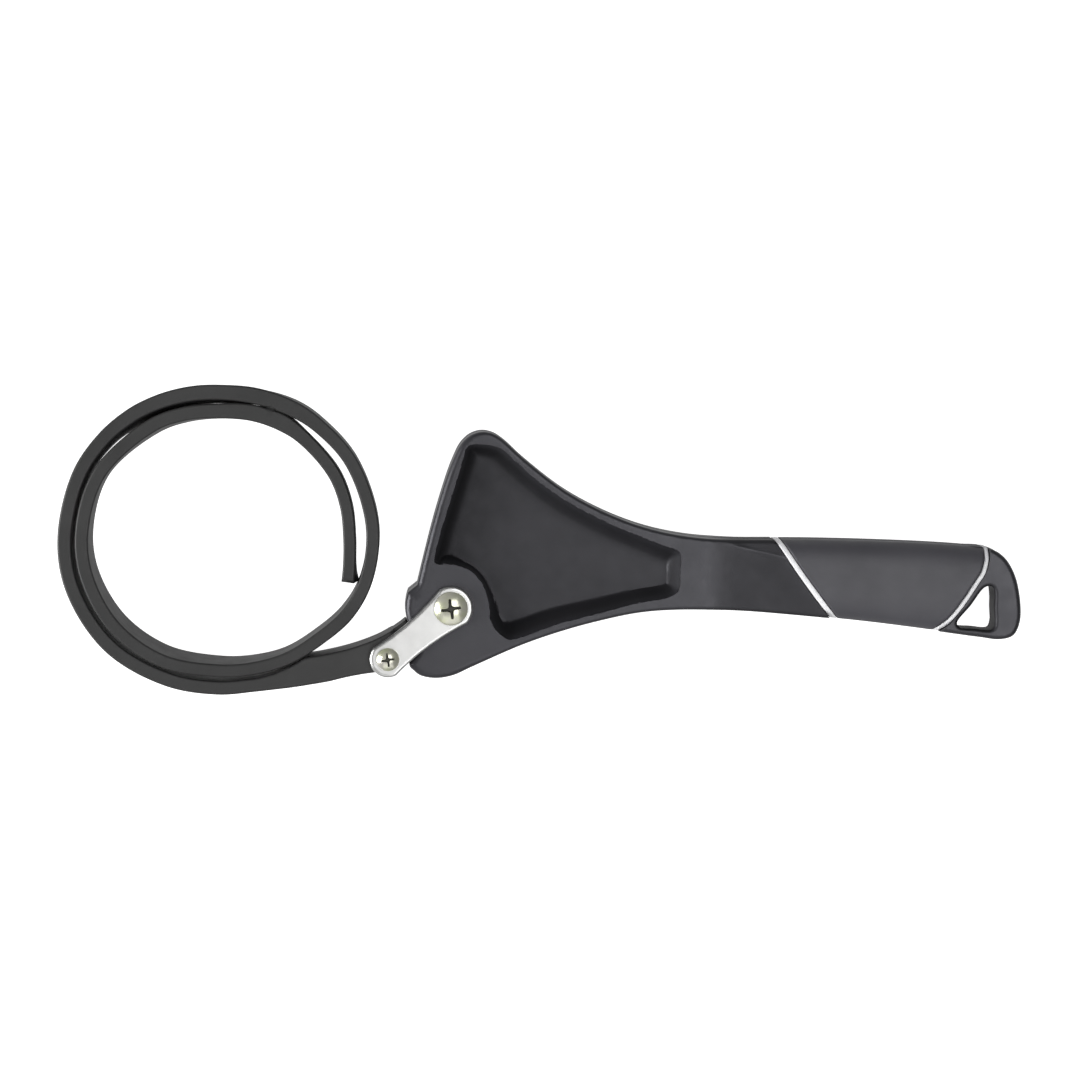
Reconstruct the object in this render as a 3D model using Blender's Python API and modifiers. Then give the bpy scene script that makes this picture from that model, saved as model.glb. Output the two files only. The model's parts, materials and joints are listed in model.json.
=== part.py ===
"""Strap-type oil filter wrench lying on its side, strap loop to the left, grip to the right.

Design plane: x runs along the handle, y across it, z through its thickness. The design datum is
the link pivot, at the middle of the thickness. The root empty carries everything to the row frame,
whose origin is the centre of the tool's outer box, on the surface that the tool lies on.
"""

import math

import bmesh
import bpy
from mathutils import Vector

MM = 0.001
GAP = 0.3                    # air left between neighbouring solids

# Driving dimensions, in millimetres
DATUM = (-34.07, -25.35, 15.3)   # the pivot in the row frame
HEAD_HALF = 11.0             # half thickness of head and neck
BUTT_HALF = 12.0
GRIP_HALF = 13.5             # half thickness of the grip
TRIM_HALF = 12.6
TANG_INSET = 3.2             # wall of the grip cover
TANG_HALF = 9.0
POCKET_DEPTH = 9.5
POCKET_DRAFT = 5.0           # how far each pocket wall runs in on the way down
BOSS_RADIUS = 17.1           # round front of the head, about the pivot
LINK_THICK = 2.5
LINK_END_RADIUS = 8.25       # round the pivot
LINK_TIP_RADIUS = 6.9        # round the anchor pin
LINK_WAIST = 1.4             # how far each flank curves in
ANCHOR = (-23.6, -19.1)      # anchor pin from the pivot
STRAP_WIDTH = 20.0
STRAP_THICK = 4.9
STRAP_EYE_RADIUS = 5.3       # rubber round the anchor pin
TONGUE_HALF = 7.0            # half width of the tongue that fits between the links
FRONT_TRIM_WIDTH = 1.9
REAR_TRIM_WIDTH = 1.5
PIVOT_BARREL_RADIUS = 4.0
PIVOT_SCREW_RADIUS = 2.5
PIVOT_HEAD_RADIUS = 6.3
PIVOT_HEAD_HEIGHT = 2.9
ANCHOR_BARREL_RADIUS = 3.0
ANCHOR_SCREW_RADIUS = 1.8
ANCHOR_HEAD_RADIUS = 4.3
ANCHOR_HEAD_HEIGHT = 2.5
NUT_HEAD_HEIGHT = 1.2        # low flat head of both barrel nuts, at the rear

LINK_IN = HEAD_HALF + GAP
LINK_OUT = LINK_IN + LINK_THICK
HEAD_SEAT = LINK_OUT + GAP

# Outline of the handle, anticlockwise from the nose tip: underside, butt, top edge, front face,
# round boss, and the throat that leads back to the nose.
UNDERSIDE = [(-11.6, -25.6), (-5.8, -26.7), (1.0, -25.6), (7.7, -22.5),
             (26.5, -14.2), (41.5, -9.0), (56.5, -4.9), (71.5, -1.9), (86.5, -0.9),
             (109.0, -1.4), (131.6, -3.2), (154.1, -5.3), (176.6, -8.1), (199.1, -11.2)]
BUTT = [(207.6, -12.1), (212.4, -10.6), (214.7, -6.0), (215.0, 1.0), (212.8, 12.0),
        (208.7, 18.9), (203.6, 22.1)]
TOP_EDGE = [(194.5, 23.0), (179.3, 24.0), (156.5, 24.9), (133.6, 25.4), (103.2, 25.6),
            (88.0, 26.9), (72.8, 30.2), (57.5, 36.0), (42.3, 44.3), (27.1, 56.1),
            (19.5, 63.0), (15.7, 65.3), (11.2, 66.0), (6.9, 64.5), (3.5, 61.2), (1.2, 56.7)]
FRONT_FACE = [(-1.1, 50.9), (-6.4, 33.6), (-11.0, 15.3), (-12.6, 8.6)]
BOSS_FROM, BOSS_TO = 160.0, 214.0    # degrees about the pivot
THROAT = [(-13.0, -12.6), (-12.4, -15.4), (-13.3, -17.8)]
NOSE_CENTRE = (-13.2, -21.3)
NOSE_RADIUS = 2.4

# Outline of the pocket that lightens each side of the head.
POCKET = [(4.8, 56.4), (6.4, 60.6), (17.8, 60.0), (23.8, 55.2), (33.3, 46.9), (45.4, 38.8),
          (59.3, 31.7), (71.5, 26.6), (79.5, 23.4), (85.6, 20.9), (86.0, 13.3), (84.8, 5.6),
          (70.0, 1.7), (55.2, -2.2), (38.9, -6.5), (26.5, -11.0), (22.0, -11.9), (17.9, -9.5),
          (14.3, -4.3), (13.3, 3.7), (9.6, 10.2), (4.5, 14.1), (-6.0, 16.4), (-5.2, 23.1),
          (-2.3, 33.4), (1.7, 46.4)]

HANG_HOLE = [(190.9, -5.8), (191.8, -7.4), (197.5, -8.0), (203.6, -8.4), (204.9, -7.2),
             (204.9, 0.0), (204.7, 6.6), (203.6, 8.1), (201.2, 7.6), (196.0, 0.8)]

# Shallow thumb scoop on each side of the neck: centre, radii and depth of an ellipsoid.
SCOOP_CENTRE = (122.0, 10.0)
SCOOP_RADII = (34.0, 18.0, 8.0)
SCOOP_DEPTH = 1.4

# Trim lines that bound the grip cover, from the top edge to the underside.
FRONT_TRIM = [(116.9, 31.9), (147.5, -8.7)]
REAR_TRIM = [(200.6, 30.0), (201.2, 25.0), (201.5, 21.0), (201.4, 18.0), (200.0, 13.0),
             (198.2, 10.1), (193.1, 2.1), (189.3, -2.8), (186.8, -5.4), (183.3, -8.0),
             (177.0, -12.5)]

# Strap loop: angle in degrees about the loop's centre and centreline radius.
LOOP_CENTRE = (-87.2, 25.4)
LOOP_ROUTE = [(-75, 56.4), (-90, 55.6), (-110, 55.8), (-135, 56.9), (-160, 57.4),
              (-180, 57.2), (-205, 57.0), (-235, 56.4), (-270, 55.5), (-300, 56.7),
              (-330, 57.5), (-355, 57.3), (-375, 56.7), (-390, 55.7), (-405, 53.0),
              (-420, 51.6), (-435, 50.1), (-450, 49.2), (-475, 50.2), (-500, 50.8),
              (-525, 50.8), (-545, 50.6), (-570, 50.4), (-600, 49.6), (-630, 48.4),
              (-660, 49.3), (-680, 49.9), (-690, 49.7), (-705, 49.2), (-720, 48.9),
              (-737.5, 51.0)]
# Thick moulded end: its lower side up to the eye, and its upper side back from the tongue.
ROOT_LOWER = [(-66.6, -31.0), (-59.8, -30.2), (-52.1, -29.0), (-45.8, -27.9), (-39.6, -26.4),
              (-33.4, -25.2), (-28.4, -24.5)]
ROOT_UPPER = [(-19.2, -12.5), (-22.0, -8.6), (-27.3, -11.5), (-35.0, -14.5), (-42.4, -16.6),
              (-48.5, -17.9), (-54.6, -19.1), (-57.2, -20.7), (-59.8, -22.1), (-65.9, -24.8)]
TONGUE = [(-16.6, -12.8), (-19.0, -16.5), (-25.0, -16.5), (-25.0, -10.3), (-22.0, -8.6),
          (-18.9, -6.4)]
STRAP_STEP = 3.4             # spacing of the outline's points

MATERIALS = {
    "nylon": ((0.055, 0.056, 0.060), 0.48, 0.0),
    "soft_grip": ((0.062, 0.062, 0.070), 0.62, 0.0),
    "trim": ((0.80, 0.80, 0.81), 0.45, 0.0),
    "rubber": ((0.050, 0.050, 0.051), 0.70, 0.0),
    "chrome": ((0.82, 0.82, 0.80), 0.14, 1.0),
    "zinc": ((0.80, 0.81, 0.70), 0.20, 1.0),
}


# ---------------------------------------------------------------- helpers

def clear_scene():
    for obj in list(bpy.data.objects):
        bpy.data.objects.remove(obj, do_unlink=True)


def new_collection(name):
    made = bpy.data.collections.new(name)
    bpy.context.scene.collection.children.link(made)
    return made


def material(name):
    found = bpy.data.materials.get(name)
    if found:
        return found
    colour, roughness, metallic = MATERIALS[name]
    made = bpy.data.materials.new(name)
    made.use_nodes = True
    shader = made.node_tree.nodes["Principled BSDF"]
    shader.inputs["Base Color"].default_value = (*colour, 1.0)
    shader.inputs["Roughness"].default_value = roughness
    shader.inputs["Metallic"].default_value = metallic
    return made


def smooth_line(points, step=3.0, closed=False, each=None):
    """Points of a centripetal Catmull-Rom curve through the given ones, about step apart.

    With each, every span gets that many points, so that two outlines can be lofted.
    """
    pts = [Vector(p) for p in points]
    count = len(pts)
    if closed:
        pts = [pts[-1], *pts, pts[0], pts[1]]
    else:
        pts = [2 * pts[0] - pts[1], *pts, 2 * pts[-1] - pts[-2]]
    line = []
    for i in range(count if closed else count - 1):
        p0, p1, p2, p3 = pts[i:i + 4]
        t1 = (p1 - p0).length ** 0.5
        t2 = t1 + (p2 - p1).length ** 0.5
        t3 = t2 + (p3 - p2).length ** 0.5
        pieces = each or max(1, round((p2 - p1).length / step))
        for k in range(pieces):
            t = t1 + (t2 - t1) * k / pieces
            a1 = p0.lerp(p1, t / t1)
            a2 = p1.lerp(p2, (t - t1) / (t2 - t1))
            a3 = p2.lerp(p3, (t - t2) / (t3 - t2))
            b1 = a1.lerp(a2, t / t2)
            b2 = a2.lerp(a3, (t - t1) / (t3 - t1))
            line.append(b1.lerp(b2, (t - t1) / (t2 - t1)))
    if not closed:
        line.append(pts[-2])
    return line


def arc(centre, radius, start, end, steps):
    turn = [math.radians(start + (end - start) * k / steps) for k in range(steps + 1)]
    return [Vector((centre[0] + radius * math.cos(t), centre[1] + radius * math.sin(t)))
            for t in turn]


def offset_line(points, distance):
    """The open line moved sideways, to the left of its direction for a positive distance."""
    moved = []
    for i, p in enumerate(points):
        before = points[max(i - 1, 0)]
        after = points[min(i + 1, len(points) - 1)]
        along = (after - before).normalized()
        moved.append(p + distance * Vector((-along.y, along.x)))
    return moved


def loft(name, rings, into):
    """A solid through rings of (outline, z), all with the same number of points."""
    bm = bmesh.new()
    levels = [[bm.verts.new((p[0] * MM, p[1] * MM, z * MM)) for p in outline]
              for outline, z in rings]
    count = len(levels[0])
    for low, high in zip(levels, levels[1:]):
        for i in range(count):
            j = (i + 1) % count
            bm.faces.new((low[i], low[j], high[j], high[i]))
    bm.faces.new(levels[0])
    bm.faces.new(levels[-1])
    bmesh.ops.recalc_face_normals(bm, faces=bm.faces)
    mesh = bpy.data.meshes.new(name)
    bm.to_mesh(mesh)
    bm.free()
    obj = bpy.data.objects.new(name, mesh)
    into.objects.link(obj)
    return obj


def prism(name, outline, low, high, into):
    """A flat outline, in mm, extruded from z = low to z = high."""
    return loft(name, [(outline, low), (outline, high)], into)


def meshed(source, name, into):
    """The evaluated source object as a closed mesh object. The source is removed."""
    bpy.context.view_layer.update()
    graph = bpy.context.evaluated_depsgraph_get()
    mesh = bpy.data.meshes.new_from_object(source.evaluated_get(graph))
    mesh.transform(source.matrix_world)
    bm = bmesh.new()
    bm.from_mesh(mesh)
    bmesh.ops.remove_doubles(bm, verts=bm.verts, dist=1e-6)
    bmesh.ops.dissolve_degenerate(bm, edges=bm.edges, dist=1e-6)
    bmesh.ops.recalc_face_normals(bm, faces=bm.faces)
    bm.to_mesh(mesh)
    bm.free()
    mesh.name = name
    bpy.data.objects.remove(source, do_unlink=True)
    made = bpy.data.objects.new(name, mesh)
    into.objects.link(made)
    return made


def turned(name, profile, into, steps=32):
    """A profile of (radius, z) in mm, top to bottom on its outer side, turned about z."""
    mesh = bpy.data.meshes.new(name)
    corners = [(r * MM, 0.0, z * MM) for r, z in profile]
    mesh.from_pydata(corners, [(i, i + 1) for i in range(len(corners) - 1)], [])
    obj = bpy.data.objects.new(name, mesh)
    into.objects.link(obj)
    screw = obj.modifiers.new("Turn", "SCREW")
    screw.steps = screw.render_steps = steps
    screw.use_merge_vertices = True
    screw.merge_threshold = 0.00001
    return obj


def cylinder(name, radius, low, high, into, place=(0.0, 0.0), sides=32):
    bm = bmesh.new()
    bmesh.ops.create_cone(bm, cap_ends=True, segments=sides, radius1=radius * MM,
                          radius2=radius * MM, depth=(high - low) * MM)
    mesh = bpy.data.meshes.new(name)
    bm.to_mesh(mesh)
    bm.free()
    obj = bpy.data.objects.new(name, mesh)
    into.objects.link(obj)
    obj.location = (place[0] * MM, place[1] * MM, (low + high) / 2 * MM)
    return obj


def helper(obj):
    obj.hide_render = True
    obj.display_type = "WIRE"
    return obj


def boolean(obj, other, operation):
    modifier = obj.modifiers.new(operation.title(), "BOOLEAN")
    modifier.operation = operation
    modifier.object = helper(other)
    modifier.solver = "EXACT"


def rounded(obj, width, segments=2, limit=40.0):
    bevel = obj.modifiers.new("Rounded edges", "BEVEL")
    bevel.width = width * MM
    bevel.segments = segments
    bevel.limit_method = "ANGLE"
    bevel.angle_limit = math.radians(limit)
    bevel.use_clamp_overlap = False


def finish(obj, slot, angle=35.0):
    obj.data.materials.clear()
    obj.data.materials.append(material(slot))
    obj.data.shade_smooth()
    obj.data.set_sharp_from_angle(angle=math.radians(angle))
    return obj


def applied(obj, name, into):
    """The object with its modifiers applied, as a new object that keeps the place."""
    bpy.context.view_layer.update()
    return meshed(obj, name, into)


# ---------------------------------------------------------------- handle

def handle_outline():
    nose = arc(NOSE_CENTRE, NOSE_RADIUS, 150.0, 240.0, 5)
    edge = smooth_line([nose[-1], *UNDERSIDE, *BUTT, *TOP_EDGE, *FRONT_FACE], step=5.0)
    boss = arc((0.0, 0.0), BOSS_RADIUS, BOSS_FROM, BOSS_TO, 7)
    return edge + boss + [Vector(p) for p in THROAT] + nose[:-1]


def rear_outline():
    """The handle's outline from the neck back, closed by a straight cut."""
    edge = smooth_line([*UNDERSIDE, *BUTT, *TOP_EDGE], step=5.0)
    return [p for p in edge if p.x > 92.0]


def grip_outline(inset):
    """The handle's outline between the neck and the butt, moved in by inset."""
    lower = [p for p in UNDERSIDE if p[0] > 100.0] + [(207.0, -12.4)]
    upper = [(207.0, 21.8)] + [p for p in TOP_EDGE if p[0] > 95.0]
    low = offset_line(smooth_line(lower, 8.0), inset)
    high = offset_line(smooth_line(upper, 8.0), inset)
    return low + high


def zone(name, left, right, cutters):
    """A slab across the handle between two lines that run from the top edge down."""
    outline = list(left) + list(reversed(right))
    return prism(name, outline, -20.0, 20.0, cutters)


def line_of(trim, shift):
    line = [Vector(p) for p in trim] if len(trim) == 2 else smooth_line(trim, 3.0)
    return offset_line(line, shift)


def slab(name, outline, half, radius, into):
    """An outline of the handle as a slab with well rounded edges."""
    obj = prism(name, outline, -half, half, into)
    rounded(obj, radius, 3, 50.0)
    return applied(obj, name, into)


def inset(points, distance):
    """A closed anticlockwise outline moved inwards, corner by corner."""
    moved = []
    count = len(points)
    for i in range(count):
        p = Vector(points[i])
        before = (p - Vector(points[i - 1])).normalized()
        after = (Vector(points[(i + 1) % count]) - p).normalized()
        side = Vector((-before.y, before.x)) + Vector((-after.y, after.x))
        side.normalize()
        lean = max(0.5, side.dot(Vector((-after.y, after.x))))
        moved.append(p + distance / lean * side)
    return moved


def pocket_cutter(side, cutters):
    """A pocket with sloping walls: the rim at the cheek, drawn in towards the web."""
    around = POCKET[::-1]
    rim = smooth_line(around, closed=True, each=3)
    floor = smooth_line(inset(around, POCKET_DRAFT), closed=True, each=3)
    return loft("pocket_cutter", [(floor, side * (HEAD_HALF - POCKET_DEPTH)),
                                  (rim, side * HEAD_HALF), (rim, side * (HEAD_HALF + 4.0))],
                cutters)


def scoop_cutter(side, cutters):
    bm = bmesh.new()
    bmesh.ops.create_uvsphere(bm, u_segments=40, v_segments=24, radius=MM)
    mesh = bpy.data.meshes.new("scoop_cutter")
    bm.to_mesh(mesh)
    bm.free()
    scoop = bpy.data.objects.new("scoop_cutter", mesh)
    cutters.objects.link(scoop)
    scoop.scale = SCOOP_RADII
    height = HEAD_HALF + SCOOP_RADII[2] - SCOOP_DEPTH
    scoop.location = (SCOOP_CENTRE[0] * MM, SCOOP_CENTRE[1] * MM, side * height * MM)
    return scoop


def hang_hole_cutter(cutters):
    return prism("hang_hole_cutter", smooth_line(HANG_HOLE, 2.0, closed=True), -20.0, 20.0,
                 cutters)


def build_handle(parts, cutters):
    """Core with its tang, the grip cover round the tang, and the two trim bands."""
    front_far = [Vector((-60.0, 120.0)), Vector((-60.0, -80.0))]
    rear_far = [Vector((260.0, 120.0)), Vector((260.0, -80.0))]
    front = FRONT_TRIM_WIDTH / 2
    rear = REAR_TRIM_WIDTH / 2
    edges = {
        "core_front": (front_far, line_of(FRONT_TRIM, -front - GAP)),
        "trim_front": (line_of(FRONT_TRIM, -front), line_of(FRONT_TRIM, front)),
        "cover": (line_of(FRONT_TRIM, front + GAP), line_of(REAR_TRIM, -rear - GAP)),
        "trim_rear": (line_of(REAR_TRIM, -rear), line_of(REAR_TRIM, rear)),
        "core_rear": (line_of(REAR_TRIM, rear + GAP), rear_far),
    }
    tang_shape = grip_outline(TANG_INSET)
    socket_shape = grip_outline(TANG_INSET - GAP)

    def piece(name, key, half, radius, outline):
        body = slab(name + "_body", outline, half, radius, parts)
        left, right = edges[key]
        boolean(body, zone(name + "_zone", left, right, cutters), "INTERSECT")
        return body

    core = piece("core", "core_front", HEAD_HALF, 1.7, handle_outline())
    butt = piece("butt", "core_rear", BUTT_HALF, 3.5, rear_outline())
    butt = applied(butt, "butt_union", cutters)
    tang = prism("tang_union", tang_shape, -TANG_HALF, TANG_HALF, cutters)
    for side in (-1.0, 1.0):
        boolean(core, scoop_cutter(side, cutters), "DIFFERENCE")
    core = applied(core, "core_shaped", parts)
    boolean(core, tang, "UNION")
    boolean(core, butt, "UNION")
    for side in (-1.0, 1.0):
        boolean(core, pocket_cutter(side, cutters), "DIFFERENCE")
    boolean(core, hang_hole_cutter(cutters), "DIFFERENCE")
    bore = cylinder("pivot_bore", PIVOT_BARREL_RADIUS + GAP, -20.0, 20.0, cutters)
    boolean(core, bore, "DIFFERENCE")
    made = [finish(applied(core, "handle_core", parts), "nylon")]

    plan = [("grip_cover", "cover", GRIP_HALF, 5.0, "soft_grip"),
            ("front_trim_band", "trim_front", TRIM_HALF, 4.4, "trim"),
            ("rear_trim_band", "trim_rear", TRIM_HALF, 4.4, "trim")]
    for name, key, half, radius, slot in plan:
        body = piece(name, key, half, radius, rear_outline())
        socket = prism(name + "_socket", socket_shape, -TANG_HALF - GAP, TANG_HALF + GAP,
                       cutters)
        boolean(body, socket, "DIFFERENCE")
        made.append(finish(applied(body, name, parts), slot))
    return made


# ---------------------------------------------------------------- links and fasteners

def link_outline():
    """Two round ends joined by flanks that curve in a little."""
    tip = Vector(ANCHOR)
    heading = math.degrees(math.atan2(tip.y, tip.x))
    lean = math.degrees(math.acos((LINK_END_RADIUS - LINK_TIP_RADIUS) / tip.length))
    tuck = math.degrees(math.atan(4.0 * LINK_WAIST / tip.length))
    big = arc((0.0, 0.0), LINK_END_RADIUS, heading + lean + tuck,
              heading + 360.0 - lean - tuck, 20)
    small = arc(ANCHOR, LINK_TIP_RADIUS, heading - lean + tuck, heading + lean - tuck, 14)

    def flank(start, end):
        inward = Vector((start.y - end.y, end.x - start.x)).normalized()
        return [start.lerp(end, t) + 4.0 * LINK_WAIST * t * (1.0 - t) * inward
                for t in (0.15, 0.3, 0.45, 0.6, 0.75, 0.88)]

    return big + flank(big[-1], small[0]) + small + flank(small[-1], big[0])


def build_links(parts, cutters):
    made = []
    for name, side in (("front_link_plate", 1.0), ("rear_link_plate", -1.0)):
        low, high = sorted((side * LINK_IN, side * LINK_OUT))
        plate = prism(name + "_blank", link_outline(), low, high, parts)
        rounded(plate, 0.5, 2)
        for hole, radius, place in (("pivot", PIVOT_BARREL_RADIUS, (0.0, 0.0)),
                                    ("anchor", ANCHOR_BARREL_RADIUS, ANCHOR)):
            cutter = cylinder(f"{name}_{hole}_hole", radius + GAP, -20.0, 20.0, cutters, place)
            boolean(plate, cutter, "DIFFERENCE")
        made.append(finish(applied(plate, name, parts), "chrome"))
    return made


def dome(radius, height, seat, steps=6):
    """Profile of a pan head from its top centre to its rim, above z = seat."""
    edge = 0.28 * height
    crown = height - edge
    points = []
    for k in range(steps + 1):
        turn = math.pi / 2 * k / steps
        points.append((radius * math.sin(turn), seat + edge + crown * math.cos(turn)))
    points.append((radius, seat))
    return points


def cross_recess(name, width, depth, top, cutters):
    """Cross-shaped driver recess, its arms as wide as a quarter of the span."""
    arms = []
    for turn in (0.0, math.pi / 2):
        bm = bmesh.new()
        bmesh.ops.create_cube(bm, size=1.0)
        mesh = bpy.data.meshes.new(name)
        bm.to_mesh(mesh)
        bm.free()
        arm = bpy.data.objects.new(f"{name}_{round(turn)}", mesh)
        cutters.objects.link(arm)
        arm.scale = (width * MM, width / 4.2 * MM, 2 * depth * MM)
        arm.rotation_euler.z = turn + math.radians(8.0)
        arm.location.z = top * MM
        arms.append(arm)
    boolean(arms[0], arms[1], "UNION")
    return applied(arms[0], name, cutters)


def build_fastener(kind, radii, head, place, parts, cutters):
    """A screw from the front and the barrel nut that it turns into from the rear."""
    barrel_radius, screw_radius = radii
    head_radius, head_height = head
    bore_end = -HEAD_HALF + 2.0
    screw_end = bore_end + 2.0
    screw = turned(kind + "_screw_blank", [
        *dome(head_radius, head_height, HEAD_SEAT),
        (screw_radius, HEAD_SEAT), (screw_radius, screw_end + 0.6),
        (screw_radius - 0.6, screw_end), (0.0, screw_end)], parts)
    barrel_top = HEAD_SEAT - GAP
    nut_face = -HEAD_SEAT - NUT_HEAD_HEIGHT
    barrel = turned(kind + "_barrel_blank", [
        (0.0, bore_end), (screw_radius + GAP, bore_end), (screw_radius + GAP, barrel_top),
        (barrel_radius, barrel_top), (barrel_radius, -HEAD_SEAT), (head_radius, -HEAD_SEAT),
        (head_radius, nut_face + 0.4), (head_radius - 0.4, nut_face), (0.0, nut_face)], parts)
    made = []
    for name, blank, face, depth in (
            (kind + "_screw", screw, HEAD_SEAT + head_height, 0.62 * head_height),
            (kind + "_barrel_nut", barrel, nut_face, 0.6)):
        recess = cross_recess(name + "_recess", head_radius * 1.05, depth, face, cutters)
        boolean(blank, recess, "DIFFERENCE")
        obj = finish(applied(blank, name, parts), "zinc")
        obj.location = (place[0] * MM, place[1] * MM, 0.0)
        made.append(obj)
    return made


# ---------------------------------------------------------------- strap

def strap_route():
    """Centreline round the loop, from the thick end to the free end."""
    centre = Vector(LOOP_CENTRE)
    points = []
    for degrees, radius in LOOP_ROUTE:
        turn = math.radians(degrees)
        points.append(centre + radius * Vector((math.cos(turn), math.sin(turn))))
    return smooth_line(points, STRAP_STEP)


def strap_outline():
    """The even strap round the loop, joined to the thick end with its eye."""
    route = strap_route()
    inner = offset_line(route, -STRAP_THICK / 2)
    outer = offset_line(route, STRAP_THICK / 2)
    lower = smooth_line([outer[0], *ROOT_LOWER], 4.0)[1:]
    eye = arc(ANCHOR, STRAP_EYE_RADIUS, -105.0, 20.0, 9)
    upper = [Vector(ROOT_UPPER[0])] + smooth_line(ROOT_UPPER[1:], 4.0)
    return outer[::-1] + lower + eye + upper + inner


def tongue_outline():
    """Narrow tongue of the thick end, which closes the corner in front of the boss."""
    seat = arc((0.0, 0.0), BOSS_RADIUS + 2 * GAP, 196.0, 211.0, 4)
    return seat + [Vector(p) for p in TONGUE]


def build_strap(parts, cutters):
    strap = prism("strap_blank", strap_outline(), -STRAP_WIDTH / 2, STRAP_WIDTH / 2, parts)
    rounded(strap, 0.7, 1, 60.0)
    strap = applied(strap, "strap_rounded", parts)
    tongue = prism("strap_tongue", tongue_outline(), -TONGUE_HALF, TONGUE_HALF, cutters)
    boolean(strap, tongue, "UNION")
    eye = cylinder("strap_eye", ANCHOR_BARREL_RADIUS + GAP, -20.0, 20.0, cutters, ANCHOR)
    boolean(strap, eye, "DIFFERENCE")
    return [finish(applied(strap, "strap", parts), "rubber")]


# ---------------------------------------------------------------- assembly

def main():
    clear_scene()
    parts = new_collection("oil_filter_wrench")
    cutters = new_collection("cutters")
    root = bpy.data.objects.new("tool_root", None)
    parts.objects.link(root)
    root.location = [v * MM for v in DATUM]
    made = build_handle(parts, cutters) + build_links(parts, cutters)
    made += build_fastener("pivot", (PIVOT_BARREL_RADIUS, PIVOT_SCREW_RADIUS),
                           (PIVOT_HEAD_RADIUS, PIVOT_HEAD_HEIGHT), (0.0, 0.0), parts, cutters)
    made += build_fastener("anchor", (ANCHOR_BARREL_RADIUS, ANCHOR_SCREW_RADIUS),
                           (ANCHOR_HEAD_RADIUS, ANCHOR_HEAD_HEIGHT), ANCHOR, parts, cutters)
    made += build_strap(parts, cutters)
    for obj in made:
        obj.parent = root
    for obj in list(cutters.objects):
        helper(obj)


main()
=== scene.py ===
# Looks of the oil filter strap wrench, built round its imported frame. Plans are drawn in millimetres
# about the link pivot, x along the handle, and each piece is a shaped relief over its plan.

import json
import math

import bmesh
import bpy
import numpy as np
from mathutils import Matrix, Vector
from mathutils.geometry import delaunay_2d_cdt
from mathutils.kdtree import KDTree


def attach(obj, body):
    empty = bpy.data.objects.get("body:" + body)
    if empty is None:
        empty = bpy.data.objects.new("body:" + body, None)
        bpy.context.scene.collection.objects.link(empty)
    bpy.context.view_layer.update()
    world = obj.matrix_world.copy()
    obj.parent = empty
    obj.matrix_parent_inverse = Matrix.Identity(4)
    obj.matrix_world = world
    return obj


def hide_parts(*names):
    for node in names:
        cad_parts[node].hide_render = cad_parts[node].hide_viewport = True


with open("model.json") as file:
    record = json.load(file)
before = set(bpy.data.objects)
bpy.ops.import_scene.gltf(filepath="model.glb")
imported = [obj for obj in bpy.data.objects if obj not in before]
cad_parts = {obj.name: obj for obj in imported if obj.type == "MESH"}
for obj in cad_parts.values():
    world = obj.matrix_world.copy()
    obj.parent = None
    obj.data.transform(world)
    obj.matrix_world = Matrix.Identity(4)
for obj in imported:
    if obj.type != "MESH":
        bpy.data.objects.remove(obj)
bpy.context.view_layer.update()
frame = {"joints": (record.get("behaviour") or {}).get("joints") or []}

MM = 0.001
JOINTS = {joint["name"]: np.array(joint["pos_m"]) / MM for joint in frame["joints"]}
PIVOT = JOINTS["link_swing"]
ANCHOR = (JOINTS["strap_swing"] - PIVOT)[:2]

# Sizes of the handle in millimetres. A half is a half thickness, and an edge is a rounding's radius.
GAP = 0.3
HEAD_HALF = 11.0
HEAD_EDGE = 2.2              # at the front face, and RIM_EDGE elsewhere
RIM_EDGE = 1.5
POCKET_DEPTH = 9.5
POCKET_DRAFT = (6.4, 4.6)    # how far its lower wall runs in, near the boss and at the neck
BOSS_DRAFT = (2.0, 2.6, 2.2)     # and the boss: everywhere, added at its left, added at its foot
POCKET_SWEEP = 11.0          # reach of the hollow curve from its other walls to the floor
POCKET_LIP = 0.35            # how far outside its outline a straight wall starts
DISH_RISE = 3.0              # how far the floor lifts towards the front wall
DISH_REACH = 30.0
SCOOP_DEPTH = 1.25
SCOOP_STEPS = (95.5, 99.0, 103.0, 107.0)     # along x, from its start to its full depth
CREASE_ONSET = (101.0, 110.0)    # along x, where the crease starts and is full
CREASE_RIDGE = 0.3
CREASE_SLOPE = 0.26          # how steeply the neck falls away above the crease
TRIM_RISE = 0.95             # how far the neck lifts again to meet the trim
BOSS_RADIUS = 17.1
BUTT_HALF = 12.0
BUTT_EDGE = 1.9
HOLE_EDGE = 1.4
HOLE_FLARE = 2.2
GRIP_HALF = 13.5
GRIP_SIDE = 6.0              # half height of the grip's upright flank
TRIM_HALF = 12.7
TRIM_SIDE = 5.6
CROWN_POWER = 2.9
CROWN_STEPS = [16.0 * (1.0 - math.cos(turn)) for turn in np.linspace(0.0, 1.35, 15)[1:]]
FRONT_HALF = 0.95            # half widths of the trim bands
REAR_HALF = 0.75

# Sizes of the links, their fasteners and the strap
LINK_IN = HEAD_HALF + GAP
LINK_OUT = LINK_IN + 2.5
LINK_EDGE = 1.1
LINK_END_RADIUS = 8.25
LINK_TIP_RADIUS = 6.9
LINK_WAIST = 1.4
PIVOT_BORE = 4.3
ANCHOR_BORE = 3.3
HEAD_SEAT = LINK_OUT + GAP
CROSS_TURN = 8.0             # degrees
RECESS_TAPER = 0.887         # part of the recess's depth that is gone at the head's rim
SCREW_SHARP = 34.0           # degrees from which a fastener's edge is drawn sharp
STRAP_HALF = 10.0
STRAP_EDGE = 0.85
STRAP_EYE_RADIUS = 5.3
TONGUE_HALF = 7.0
TONGUE_EDGE = 0.5

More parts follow.
